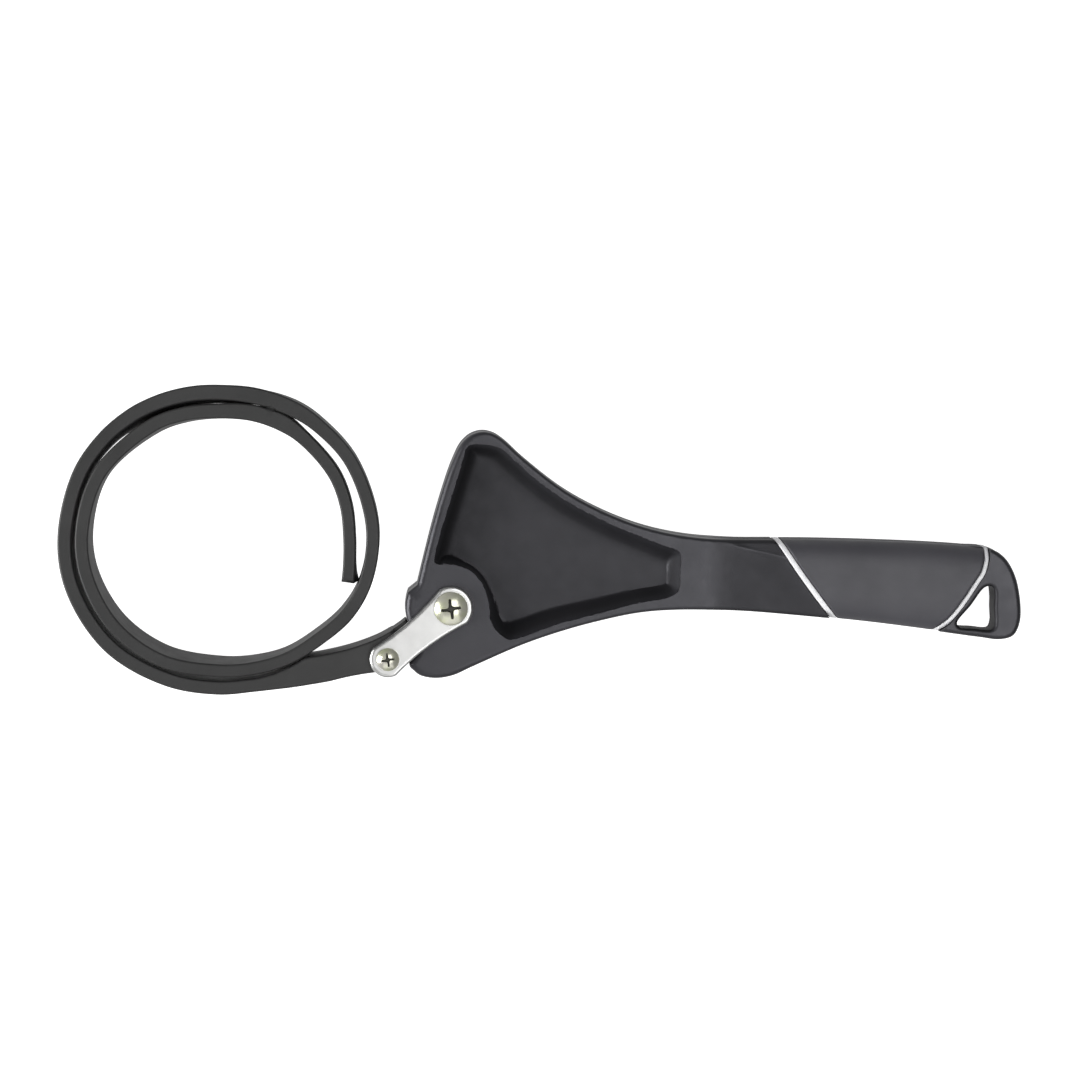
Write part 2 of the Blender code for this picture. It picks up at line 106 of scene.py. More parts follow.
# Plan of the handle, anticlockwise from the nose
UNDERSIDE = [(-11.6, -25.6), (-5.8, -26.7), (1.0, -25.6), (7.7, -22.5),
             (26.5, -14.2), (41.5, -9.0), (56.5, -4.9), (71.5, -1.9), (86.5, -0.9),
             (109.0, -1.4), (131.6, -3.2), (154.1, -5.3), (176.6, -8.1), (199.1, -11.2)]
BUTT = [(207.6, -12.1), (212.4, -10.6), (214.7, -6.0), (215.0, 1.0), (212.8, 12.0),
        (208.7, 18.9), (203.6, 22.1)]
TOP_EDGE = [(194.5, 23.0), (179.3, 24.0), (156.5, 24.9), (133.6, 25.4), (103.2, 25.6),
            (88.0, 26.9), (72.8, 30.2), (57.5, 36.0), (42.3, 44.3), (27.1, 56.1),
            (19.5, 63.0), (15.7, 65.3), (11.2, 66.0), (6.9, 64.5), (3.5, 61.2), (1.2, 56.7)]
FRONT_FACE = [(-1.1, 50.9), (-6.4, 33.6), (-11.0, 15.3), (-12.6, 8.6)]
THROAT = [(-13.0, -12.6), (-12.4, -15.4), (-13.3, -17.8)]
NOSE_CENTRE = (-13.2, -21.3)
NOSE_RADIUS = 2.4
POCKET = [(4.8, 56.4), (6.4, 60.6), (17.8, 60.0), (23.8, 55.2), (33.3, 46.9), (45.4, 38.8),
          (59.3, 31.7), (71.5, 26.6), (79.5, 23.4), (85.6, 20.9), (86.0, 13.3), (84.8, 5.6),
          (70.0, 1.7), (55.2, -2.2), (38.9, -6.5), (26.5, -11.0), (22.0, -11.9), (17.9, -9.5),
          (14.9, -4.6), (14.5, 0.4), (13.3, 5.6), (11.2, 9.9), (8.2, 13.2), (4.6, 15.3),
          (-1.0, 16.5), (-6.0, 16.8), (-5.2, 23.1), (-2.3, 33.4), (1.7, 46.4)]
POCKET_PEAK = (4.8, 56.4)
POCKET_NECK = (85.6, 20.9)
POCKET_FOOT = (22.0, -11.9)      # where the lower wall meets the boss
POCKET_HEEL = (-6.0, 16.8)       # where the front wall does
HANG_HOLE = [(190.9, -5.8), (191.8, -7.4), (197.5, -8.0), (203.6, -8.4), (204.9, -7.2),
             (204.9, 0.0), (204.7, 6.6), (203.6, 8.1), (201.2, 7.6), (196.0, 0.8)]
FRONT_TRIM = [(118.3, 31.9), (123.2, 25.2), (129.7, 15.5), (133.6, 10.0), (141.1, 0.0),
              (145.4, -5.4), (148.1, -8.7)]
REAR_TRIM = [(201.3, 30.0), (201.8, 25.0), (202.0, 21.0), (201.8, 18.0), (200.3, 13.0),
             (198.4, 10.1), (193.2, 2.1), (189.6, -2.8), (187.4, -5.4), (184.3, -8.0),
             (178.4, -12.5)]
THUMB_CREASE = [(102.0, 24.6), (109.0, 22.6), (116.0, 21.0), (130.0, 18.0)]

# Strap: angle in degrees about the loop's centre, radius to its middle, half thickness, and how far
# its rear edge leans in. Then its thick end.
LOOP_CENTRE = np.array((-87.2, 25.4))
LOOP_ROUTE = [(-75, 56.5, 2.5, 0.0), (-90, 55.7, 2.55, 0.0), (-110, 55.8, 2.6, 0.0),
              (-135, 56.9, 2.6, 0.0), (-160, 57.3, 2.6, 0.3), (-180, 57.1, 2.6, 0.3),
              (-205, 57.0, 2.6, 0.6), (-222, 56.8, 2.6, 1.5), (-235, 56.5, 2.7, 2.5),
              (-243, 56.2, 2.75, 2.8), (-252, 55.85, 2.8, 2.7), (-262, 55.5, 2.85, 2.4),
              (-272, 55.25, 2.85, 2.0), (-285, 55.7, 3.1, 1.0), (-300, 56.55, 3.0, 0.1),
              (-312, 57.0, 2.65, 0.0), (-330, 57.8, 2.5, 0.1), (-355, 58.0, 2.5, 0.0),
              (-375, 57.45, 2.5, 0.0), (-390, 55.9, 2.5, 0.4), (-405, 53.0, 2.45, 0.4),
              (-420, 51.6, 2.45, 0.5), (-435, 50.1, 2.45, 1.0), (-450, 49.2, 2.45, 1.4),
              (-475, 50.1, 2.5, 1.8), (-500, 50.7, 2.55, 1.4), (-525, 50.8, 2.55, 0.6),
              (-545, 50.6, 2.55, 0.2), (-570, 50.4, 2.55, 0.1), (-600, 49.2, 2.6, 1.2),
              (-615, 48.75, 2.65, 1.3), (-630, 48.3, 2.75, 1.0), (-645, 49.3, 3.1, 0.9),
              (-658, 50.0, 3.2, 0.2), (-670, 49.85, 2.6, 0.6), (-690, 50.0, 2.4, 0.3),
              (-705, 49.6, 2.35, 0.1), (-720, 49.2, 2.35, 0.0), (-731, 50.0, 2.35, -0.2),
              (-735.5, 50.6, 2.4, -0.9), (-738.3, 51.0, 2.4, -2.0)]
ROOT_LOWER = [(-66.6, -31.0), (-59.8, -30.2), (-52.1, -29.0), (-45.8, -27.9), (-39.6, -26.4),
              (-33.4, -25.2), (-28.4, -24.5)]
ROOT_UPPER = [(-19.2, -12.5), (-22.0, -8.6), (-27.3, -11.5), (-35.0, -14.5), (-42.4, -16.6),
              (-48.5, -17.9), (-54.6, -19.1), (-57.2, -20.7), (-59.8, -22.1), (-65.9, -24.8)]
TONGUE = [(-16.6, -12.8), (-19.0, -15.5), (-25.0, -15.5), (-25.0, -10.3), (-22.0, -8.6),
          (-18.9, -6.4)]


# ---------------------------------------------------------------- plan lines

def smooth_line(points, step=1.0, closed=False):
    """Points of a centripetal Catmull-Rom curve through the given ones, about step apart."""
    pts = [np.array(p, float) for p in points]
    count = len(pts)
    if closed:
        pts = [pts[-1], *pts, pts[0], pts[1]]
    else:
        pts = [2 * pts[0] - pts[1], *pts, 2 * pts[-1] - pts[-2]]
    line = []
    for i in range(count if closed else count - 1):
        p0, p1, p2, p3 = pts[i:i + 4]
        t1 = math.dist(p0, p1) ** 0.5
        t2 = t1 + math.dist(p1, p2) ** 0.5
        t3 = t2 + math.dist(p2, p3) ** 0.5
        pieces = max(1, round(math.dist(p1, p2) / step))
        t = np.linspace(t1, t2, pieces, endpoint=False)[:, None]
        a1 = p0 + (p1 - p0) * t / t1
        a2 = p1 + (p2 - p1) * (t - t1) / (t2 - t1)
        a3 = p2 + (p3 - p2) * (t - t2) / (t3 - t2)
        b1 = a1 + (a2 - a1) * t / t2
        b2 = a2 + (a3 - a2) * (t - t1) / (t3 - t1)
        line.append(b1 + (b2 - b1) * (t - t1) / (t2 - t1))
    if not closed:
        line.append(pts[-2][None])
    return np.vstack(line)


def arc(centre, radius, start, end, steps):
    turn = np.radians(np.linspace(start, end, steps + 1))[:, None]
    return np.asarray(centre) + radius * np.hstack((np.cos(turn), np.sin(turn)))


def circle(centre, radius, steps, clockwise=False):
    ring = arc(centre, radius, 0.0, 360.0, steps)[:-1]
    return ring[::-1] if clockwise else ring


def leftward(line, closed):
    """Unit vectors to the left of a line, at each of its points."""
    steps = np.diff(line, axis=0, append=line[:1])
    steps /= np.maximum(np.linalg.norm(steps, axis=1), 1e-9)[:, None]
    if not closed:
        steps[-1] = steps[-2]
    before = np.roll(steps, 1, axis=0)
    if not closed:
        before[0] = steps[0]
    along = steps + before
    along /= np.linalg.norm(along, axis=1)[:, None]
    return np.column_stack((-along[:, 1], along[:, 0]))


def offset(line, distance, closed=False):
    return line + distance * leftward(line, closed)


def distance_to(points, line, closed=False):
    """Shortest distance from each point to a line."""
    starts = line if closed else line[:-1]
    ends = np.roll(line, -1, axis=0) if closed else line[1:]
    span = ends - starts
    length = np.maximum((span ** 2).sum(1), 1e-12)
    found = np.empty(len(points))
    for at in range(0, len(points), 2000):
        away = points[at:at + 2000, None] - starts[None]
        t = np.clip((away * span).sum(2) / length, 0.0, 1.0)
        found[at:at + 2000] = np.sqrt(((away - t[..., None] * span) ** 2).sum(2).min(1))
    return found


def inside(points, loop):
    """True for each point within a closed line."""
    nxt = np.roll(loop, -1, axis=0)
    found = np.zeros(len(points), bool)
    for at in range(0, len(points), 4000):
        x = points[at:at + 4000, 0, None]
        y = points[at:at + 4000, 1, None]
        spans = (loop[:, 1] > y) != (nxt[:, 1] > y)
        rise = np.where(nxt[:, 1] == loop[:, 1], 1e-12, nxt[:, 1] - loop[:, 1])
        cross = loop[:, 0] + (y - loop[:, 1]) * (nxt[:, 0] - loop[:, 0]) / rise
        found[at:at + 4000] = (spans & (x < cross)).sum(1) % 2 == 1
    return found


def signed_distance(points, loop):
    """Distance to a closed line, positive within it."""
    return np.where(inside(points, loop), 1.0, -1.0) * distance_to(points, loop, True)


def crossings(line, other):
    """Where a line meets another: places along each, in points and parts of a point."""
    found = []
    for i in range(len(line) - 1):
        p = line[i]
        r = line[i + 1] - p
        for j in range(len(other) - 1):
            s = other[j + 1] - other[j]
            turn = r[0] * s[1] - r[1] * s[0]
            if abs(turn) < 1e-12:
                continue
            gap = other[j] - p
            t = (gap[0] * s[1] - gap[1] * s[0]) / turn
            u = (gap[0] * r[1] - gap[1] * r[0]) / turn
            if 0.0 <= t < 1.0 and 0.0 <= u < 1.0:
                found.append((i + t, j + u))
    return found


def section(line, start, end):
    """The part of a line between two places along it, backwards if end is before start."""
    if end < start:
        return section(line, end, start)[::-1]

    def at(place):
        i = min(int(place), len(line) - 2)
        return line[i] + (place - i) * (line[i + 1] - line[i])

    middle = line[int(start) + 1:math.ceil(end)]
    return np.vstack((at(start)[None], middle, at(end)[None]))


def between(outline, left, right):
    """Closed plan of the handle between two lines that run from its top edge down."""
    loop = np.vstack((outline, outline[:1]))
    if right is not None:
        (low_right, end_low), (high_right, end_high) = sorted(crossings(loop, right))
    if left is not None:
        (low_left, start_low), (high_left, start_high) = sorted(crossings(loop, left))
    if right is None:
        parts = [section(loop, low_left, high_left), section(left, start_high, start_low)]
    elif left is None:
        parts = [section(loop, 0.0, low_right), section(right, end_low, end_high),
                 section(loop, high_right, len(loop) - 1.001)]
    else:
        parts = [section(loop, low_left, low_right), section(right, end_low, end_high),
                 section(loop, high_right, high_left), section(left, start_high, start_low)]
    joined = np.vstack([parts[0]] + [part[1:] for part in parts[1:]])
    spacing = np.linalg.norm(joined - np.roll(joined, 1, axis=0), axis=1)
    return joined[spacing > 0.05]


# ---------------------------------------------------------------- relief meshes

def fall(distance, radius):
    """How far a rounded edge has dropped at a distance from the side wall."""
    reach = np.clip(radius - distance, 0.0, radius)
    return radius - np.sqrt(radius ** 2 - reach ** 2)


def round_steps(radius, count=6):
    """Distances from the side wall that divide a rounded edge evenly, and one beyond."""
    turns = np.linspace(0.0, math.pi / 2, count + 1)[1:]
    return [*(radius * (1.0 - np.cos(turns))), radius + 0.35]


def ease(value, low, high):
    """0 up to low, 1 from high on, and a smooth rise between."""
    t = np.clip((value - low) / (high - low), 0.0, 1.0)
    return t * t * (3.0 - 2.0 * t)


def soft_min(a, b, width):
    blend = np.maximum(width - np.abs(a - b), 0.0) / width
    return np.minimum(a, b) - blend ** 2 * width / 4.0


def add_line(net, line, closed, keep):
    """Adds the kept points of a line to the plan, joined to their neighbours."""
    points, edges = net
    number = np.cumsum(keep) - 1 + len(points)
    for i in range(len(line) if closed else len(line) - 1):
        j = (i + 1) % len(line)
        if keep[i] and keep[j]:
            edges.append((int(number[i]), int(number[j])))
    points.extend(line[keep])


def plan_net(loops, guides, grid):
    """Points and edges of a plan: its loops, lines beside the guides, and a filling grid."""
    net = ([], [])
    for loop in loops:
        add_line(net, loop, True, np.ones(len(loop), bool))
    for line, closed, distances in guides:
        side = leftward(line, closed)
        for away in distances:
            moved = line + away * side
            own = distance_to(moved, line, closed)
            keep = np.abs(own - abs(away)) < 0.03 * abs(away) + 0.01
            keep &= inside(moved, loops[0])
            for loop in loops:
                keep &= distance_to(moved, loop, True) > min(0.9 * abs(away), 0.15)
            for hole in loops[1:]:
                keep &= ~inside(moved, hole)
            add_line(net, moved, closed, keep)
    points = np.array(net[0])
    tree = KDTree(len(points))
    for i, p in enumerate(points):
        tree.insert((*p, 0.0), i)
    tree.balance()
    low = loops[0].min(0)
    high = loops[0].max(0)
    filling = np.array([(x, y) for x in np.arange(low[0], high[0], grid)
                        for y in np.arange(low[1], high[1], grid)])
    filling = filling[inside(filling, loops[0])]
    for hole in loops[1:]:
        filling = filling[~inside(filling, hole)]
    spare = [p for p in filling if tree.find((*p, 0.0))[2] > 0.7 * grid]
    net[0].extend(spare)
    return net


def triangles_of(net, loops):
    """The plan's corners and its triangles within the outer loop and outside the holes."""
    points, edges = net
    found = delaunay_2d_cdt([Vector(p) for p in points], edges, [], 0, 1e-5)
    corners = np.array([tuple(p) for p in found[0]])
    faces = np.array([f for f in found[2] if len(f) == 3])
    a, b, c = (corners[faces[:, k]] for k in range(3))
    area = (b[:, 0] - a[:, 0]) * (c[:, 1] - a[:, 1]) - (b[:, 1] - a[:, 1]) * (c[:, 0] - a[:, 0])
    faces[area < 0] = faces[area < 0][:, ::-1]
    middle = (a + b + c) / 3.0
    keep = inside(middle, loops[0]) & (np.abs(area) > 1e-9)
    for hole in loops[1:]:
        keep &= ~inside(middle, hole)
    return corners, faces[keep]


def relief(name, loops, top, bottom=None, guides=(), grid=3.0, rows=(), sharp=42.0):
    """A solid over a plan, in millimetres about the pivot.

    loops are the outer line, anticlockwise, and its holes, clockwise. top gives the height of
    points, and so does bottom, which mirrors top if it isn't given. rows are (part of the wall's
    height, how far it stands out) for extra lines round the side walls.
    """
    net = plan_net(loops, guides, grid)
    corners, faces = triangles_of(net, loops)
    used, faces = np.unique(faces, return_inverse=True)
    corners = corners[used]
    faces = faces.reshape(-1, 3)
    high = top(corners)
    low = -high if bottom is None else bottom(corners)
    edges = dict.fromkeys((f[k], f[(k + 1) % 3]) for f in faces for k in range(3))
    rim = [(i, j) for i, j in edges if (j, i) not in edges]
    outward = np.zeros((len(corners), 2))
    for i, j in rim:
        away = corners[j] - corners[i]
        away = np.array((away[1], -away[0])) / np.linalg.norm(away)
        outward[i] += away
        outward[j] += away
    size = np.linalg.norm(outward, axis=1)
    outward[size > 0] /= size[size > 0][:, None]
    count = len(corners)
    levels = [np.column_stack((corners, high))]
    for share, out in rows:
        place = corners + out * outward
        levels.append(np.column_stack((place, low + share * (high - low))))
    levels.append(np.column_stack((corners, low)))
    quads = []
    for level in range(len(levels) - 1):
        up, down = level * count, (level + 1) * count
        quads += [(j + up, i + up, i + down, j + down) for i, j in rim]
    last = (len(levels) - 1) * count
    rear = [tuple(f[::-1] + last) for f in faces]
    places = (np.vstack(levels) + PIVOT) * MM
    mesh = bpy.data.meshes.new(name)
    mesh.from_pydata(places.tolist(), [], [tuple(f) for f in faces] + rear + quads)
    obj = bpy.data.objects.new(name, mesh)
    bpy.context.scene.collection.objects.link(obj)
    clean(mesh)
    shade(obj, sharp)
    return obj


def clean(mesh):
    """Drops the points that no face uses, and makes normals point out."""
    bm = bmesh.new()
    bm.from_mesh(mesh)
    bmesh.ops.delete(bm, geom=[v for v in bm.verts if not v.link_faces], context="VERTS")
    bmesh.ops.recalc_face_normals(bm, faces=bm.faces)
    bm.to_mesh(mesh)
    bm.free()


def shade(obj, sharp):
    obj.data.shade_smooth()
    obj.data.set_sharp_from_angle(angle=math.radians(sharp))
    weighted = obj.modifiers.new("Even shading", "WEIGHTED_NORMAL")
    weighted.keep_sharp = True
    weighted.weight = 60


def united(obj, other, sharp=42.0):
    """obj with another solid joined to it as one skin. The other is removed."""
    for o in (obj, other):
        o.modifiers.clear()
    union = obj.modifiers.new("Union", "BOOLEAN")
    union.operation = "UNION"
    union.object = other
    union.solver = "EXACT"
    bpy.context.view_layer.update()
    graph = bpy.context.evaluated_depsgraph_get()
    mesh = bpy.data.meshes.new_from_object(obj.evaluated_get(graph))
    obj.modifiers.clear()
    obj.data = mesh
    bpy.data.objects.remove(other, do_unlink=True)
    shade(obj, sharp)
    return obj


# ---------------------------------------------------------------- handle

def handle_outline():
    nose = arc(NOSE_CENTRE, NOSE_RADIUS, 150.0, 240.0, 12)
    edge = smooth_line([nose[-1], *UNDERSIDE, *BUTT, *TOP_EDGE, *FRONT_FACE], 1.1)
    boss = arc((0.0, 0.0), BOSS_RADIUS, 160.0, 214.0, 16)
    throat = smooth_line([boss[-1], *THROAT, nose[0]], 0.7)
    return np.vstack((edge, boss[:-1], throat[:-1], nose[:-1]))


OUTLINE = handle_outline()
FRONT_LINE = smooth_line(FRONT_TRIM, 1.0)
REAR_LINE = smooth_line(REAR_TRIM, 1.0)
LOWER_SIDE = smooth_line([(0.0, -26.0)] + UNDERSIDE[3:] + [(222.0, -14.5)], 2.0)
UPPER_SIDE = smooth_line([(222.0, 20.6)] + TOP_EDGE[:8], 2.0)
CREASE = smooth_line(THUMB_CREASE, 1.0)
HOLE_LOOP = smooth_line(HANG_HOLE, 0.7, closed=True)[::-1]
POCKET_LOOP = smooth_line(POCKET[::-1], 1.0, closed=True)


def pocket_run(start, end):
    """The pocket's outline, anticlockwise from one corner of it to another."""
    first, last = (int(np.linalg.norm(POCKET_LOOP - p, axis=1).argmin()) for p in (start, end))
    return np.roll(POCKET_LOOP, -first, axis=0)[:(last - first) % len(POCKET_LOOP) + 1]


LOW_WALL = pocket_run(POCKET_FOOT, POCKET_NECK)
HIGH_WALL = pocket_run(POCKET_NECK, POCKET_HEEL)
FRONT_WALL = pocket_run(POCKET_PEAK, POCKET_HEEL)
BOSS_WALL = pocket_run(POCKET_HEEL, POCKET_FOOT)

# Lines round the side walls: part of the wall's height, and how far the line stands out
PARTING = [(0.53, 0.0), (0.515, 0.13), (0.485, 0.13), (0.47, 0.0)]


def head_height(points):
    """Front of head and neck: rounded rim, pocket, thumb scoop and its crease."""
    x = points[:, 0]
    edge = HEAD_EDGE + (RIM_EDGE - HEAD_EDGE) * ease(x, 0.0, 14.0)
    height = HEAD_HALF - fall(distance_to(points, OUTLINE, True), edge)
    scoop = SCOOP_DEPTH * ease(x, SCOOP_STEPS[0], SCOOP_STEPS[-1])
    to_trim = distance_to(points, FRONT_LINE)
    rise = TRIM_RISE * (1.0 - ease(to_trim, 1.2, 12.0)) * ease(x, 100.0, 110.0)
    above = side_of(points, CREASE)
    started = ease(x, *CREASE_ONSET)
    shoulder = started * CREASE_SLOPE * np.maximum(above, 0.0)
    ridge = started * CREASE_RIDGE * np.exp(-(above / 0.9) ** 2)
    return height - pocket_depth(points) - scoop + rise - shoulder + ridge


def pocket_depth(points):
    """Lower wall and boss are straight and crisp, and the others sweep down to the floor."""
    x, y = points[:, 0], points[:, 1]
    way = np.where(inside(points, POCKET_LOOP), 1.0, -1.0)
    draft = POCKET_DRAFT[0] + (POCKET_DRAFT[1] - POCKET_DRAFT[0]) * ease(x, 15.0, 85.0)
    low = POCKET_DEPTH / draft * (way * distance_to(points, LOW_WALL) + POCKET_LIP)
    even, at_left, at_foot = BOSS_DRAFT
    draft = even + at_left * (1.0 - ease(x, -3.0, 5.0)) + at_foot * ease(-y, -6.0, 6.0)
    boss = POCKET_DEPTH / draft * (way * distance_to(points, BOSS_WALL) + POCKET_LIP)
    straight = soft_min(low, boss, 1.0)
    rest = way * distance_to(points, HIGH_WALL)
    share = np.clip(rest / POCKET_SWEEP, 0.0, 1.0)
    swept = POCKET_DEPTH * (1.0 - (1.0 - share) ** 3) + 2.5 * np.minimum(rest, 0.0)
    front = np.clip(distance_to(points, FRONT_WALL) / DISH_REACH, 0.0, 1.0)
    floor = POCKET_DEPTH - DISH_RISE * (1.0 - front) ** 3
    depth = soft_min(soft_min(straight, floor, 0.8), soft_min(swept, floor, 1.6), 1.0)
    return -soft_min(-depth, np.zeros(len(points)), 2.0)


def side_of(points, line):
    """Distance from an open line, positive to the left of its direction."""
    along = np.diff(line, axis=0)
    middle = (line[1:] + line[:-1]) / 2.0
    nearest = ((points[:, None] - middle[None]) ** 2).sum(2).argmin(1)
    away = points - middle[nearest]
    turn = away[:, 0] * along[nearest, 1] - away[:, 1] * along[nearest, 0]
    return -np.sign(turn) * distance_to(points, line)


def head_painted_shade(points):
    """Painted shade on the head's front, 0 to 1: in the pocket and the thumb scoop, less along the
    crease.
    """
    # Painted shade in the pocket, deepest near its front wall, which shadows the floor.
    within = 0.7 + 0.5 * (1.0 - ease(distance_to(points, FRONT_WALL), 2.0, 32.0))
    pocket = within * ease(signed_distance(points, POCKET_LOOP), 0.0, 2.5)
    # A painted highlight along the crease takes some of the shade away; the scoop is shaded as well.
    crease_highlight = np.exp(-(distance_to(points, CREASE) / 1.1) ** 2) * ease(points[:, 0], *CREASE_ONSET)
    return np.maximum(pocket, 0.8 * ease(points[:, 0], 96.0, 108.0)) - 0.7 * crease_highlight


def points_of(mesh):
    """A mesh's points in millimetres about the pivot."""
    places = np.empty(len(mesh.vertices) * 3)
    mesh.vertices.foreach_get("co", places)
    return places.reshape(-1, 3) / MM - PIVOT


def move_points(mesh, places):
    mesh.vertices.foreach_set("co", ((places + PIVOT) * MM).ravel())
    mesh.update()


def paint(obj, values):
    """Keeps a recess value, 0 to 1, for each of the piece's points; its material darkens there as
    painted shade.
    """
    layer = obj.data.attributes.new("recess", "FLOAT", "POINT")
    layer.data.foreach_set("value", values(points_of(obj.data)[:, :2]))


def make_head():
    right = offset(FRONT_LINE, -FRONT_HALF - GAP)
    plan = between(OUTLINE, None, right)
    guides = [(OUTLINE, True, round_steps(HEAD_EDGE)),
              (POCKET_LOOP, True, [-0.9, -0.6, -0.38, -0.18, 0.0, 0.18, 0.38, 0.62, 1.0, 1.5, 2.1,
                                   2.8, 3.6, 4.4, 5.0, 5.5, 6.0, 6.6, 7.4, 8.4, 9.6, 11.0]),
              (CREASE, False, [-1.4, -0.8, -0.4, 0.0, 0.4, 0.8, 1.4])]
    guides += [(smooth_line([(x, y) for y in (40.0, 20.0, 0.0, -20.0)], 1.2), False, [0.0])
               for x in SCOOP_STEPS]
    bore = circle((0.0, 0.0), PIVOT_BORE, 48, True)
    head = relief("head_and_neck", [plan, bore], head_height, guides=guides, grid=2.4,
                  rows=PARTING)
    # Painted shade in the pocket and thumb scoop, and a painted highlight along the crease.
    paint(head, head_painted_shade)
    return head


def butt_height(points):
    side = fall(distance_to(points, OUTLINE, True), BUTT_EDGE)
    hole = fall(distance_to(points, HOLE_LOOP, True), HOLE_EDGE)
    return BUTT_HALF - side - hole


def flare_hole(butt, outer):
    """Widens the rear half of the hang hole with depth, and leaves the butt's outer wall alone."""
    places = points_of(butt.data)
    plan = places[:, :2]
    depth = np.clip(-places[:, 2] / BUTT_HALF, 0.0, 1.0)
    hole = distance_to(plan, HOLE_LOOP, True)
    wall = distance_to(plan, outer, True)
    near = (1.0 - ease(hole, 0.5, 5.0)) * wall / np.maximum(wall + hole, 1e-6)
    away = plan - HOLE_LOOP.mean(0)
    away /= np.linalg.norm(away, axis=1)[:, None]
    places[:, :2] += (HOLE_FLARE * depth * near)[:, None] * away
    move_points(butt.data, places)


def make_butt():
    left = offset(REAR_LINE, REAR_HALF + GAP)
    plan = between(OUTLINE, left, None)
    guides = [(OUTLINE, True, round_steps(BUTT_EDGE, 8)),
              (HOLE_LOOP, True, round_steps(HOLE_EDGE))]
    butt = relief("butt", [plan, HOLE_LOOP], butt_height, guides=guides, grid=1.6, rows=PARTING)
    # Painted shade on the hang hole's walls.
    paint(butt, lambda at: 1.0 - ease(distance_to(at, HOLE_LOOP, True), 0.2, 1.6))
    flare_hole(butt, plan)
    return butt


def crown(points, side, half):
    """Height of a section that swells from upright flanks to a crowned middle."""
    low = distance_to(points, LOWER_SIDE)
    high = distance_to(points, UPPER_SIDE)
    across = np.clip(np.abs(low - high) / np.maximum(low + high, 1e-6), 0.0, 1.0)
    return side + (half - side) * np.sqrt(1.0 - across ** CROWN_POWER)


def make_grip():
    left = offset(FRONT_LINE, FRONT_HALF + GAP)
    right = offset(REAR_LINE, -REAR_HALF - GAP)
    plan = between(OUTLINE, left, right)

    def height(points):
        ends = np.minimum(distance_to(points, left), distance_to(points, right))
        return crown(points, GRIP_SIDE, GRIP_HALF) - 0.6 * fall(ends, 0.9)

    guides = [(OUTLINE, True, CROWN_STEPS),
              (left, False, [0.1, 0.3, 0.6, 0.9, 1.3]),
              (right, False, [-0.1, -0.3, -0.6, -0.9, -1.3])]
    return relief("grip", [plan], height, guides=guides, grid=1.8, rows=PARTING)


def make_trim(name, line, half):
    left = offset(line, -half)
    right = offset(line, half)
    plan = between(OUTLINE, left, right)

    def height(points):
        ends = np.minimum(distance_to(points, left), distance_to(points, right))
        return crown(points, TRIM_SIDE, TRIM_HALF) - 0.5 * fall(ends, 0.45)

    guides = [(line, False, [-half + 0.12, -half + 0.3, 0.0, half - 0.3, half - 0.12]),
              (OUTLINE, True, CROWN_STEPS)]
    return relief(name, [plan], height, guides=guides, grid=1.0)


# ---------------------------------------------------------------- links and screws

def link_outline():
    """Two round ends joined by flanks that curve in a little."""
    length = float(np.hypot(*ANCHOR))
    heading = math.degrees(math.atan2(ANCHOR[1], ANCHOR[0]))
    lean = math.degrees(math.acos((LINK_END_RADIUS - LINK_TIP_RADIUS) / length))
    tuck = math.degrees(math.atan(4.0 * LINK_WAIST / length))
    open_turn = lean + tuck
    big = arc((0.0, 0.0), LINK_END_RADIUS, heading + open_turn, heading + 360.0 - open_turn, 48)
    small = arc(ANCHOR, LINK_TIP_RADIUS, heading - lean + tuck, heading + lean - tuck, 34)

    def flank(start, end):
        inward = np.array((start[1] - end[1], end[0] - start[0]))
        inward /= np.linalg.norm(inward)
        share = np.linspace(0.0, 1.0, 26)[1:-1, None]
        return start + share * (end - start) + 4.0 * LINK_WAIST * share * (1.0 - share) * inward

    return np.vstack((big, flank(big[-1], small[0]), small, flank(small[-1], big[0])))


def make_link(name, side):
    outline = link_outline()
    holes = [circle((0.0, 0.0), PIVOT_BORE, 48, True), circle(ANCHOR, ANCHOR_BORE, 40, True)]

    def outer(points):
        return LINK_OUT - fall(distance_to(points, outline, True), LINK_EDGE)

    def inner(points):
        return LINK_IN + fall(distance_to(points, outline, True), 0.35)

    guides = [(outline, True, round_steps(LINK_EDGE))]
    top, bottom = (outer, inner) if side > 0 else (turned_over(inner), turned_over(outer))
    return relief(name, [outline, *holes], top, bottom, guides, 1.5)


def flat(level):
    """The height function of a flat face."""
    return lambda points: np.full(len(points), level)


def turned_over(height):
    """The height function of the same face on the tool's other side."""
    return lambda points: -height(points)


def cross_plan(width, reach):
    """Outline of a cross recess with arms that narrow outwards, anticlockwise."""
    corners = []
    for k in range(4):
        angle = math.radians(CROSS_TURN + 90.0 * k)
        ahead = np.array((math.cos(angle), math.sin(angle)))
        aside = np.array((-ahead[1], ahead[0]))
        tip = 0.42 * width
        corners += [ahead * width * 1.05 - aside * width * 0.62, ahead * reach - aside * tip,
                    ahead * (reach + 0.16 * width), ahead * reach + aside * tip]
    return smooth_line(corners, 0.16, closed=True)


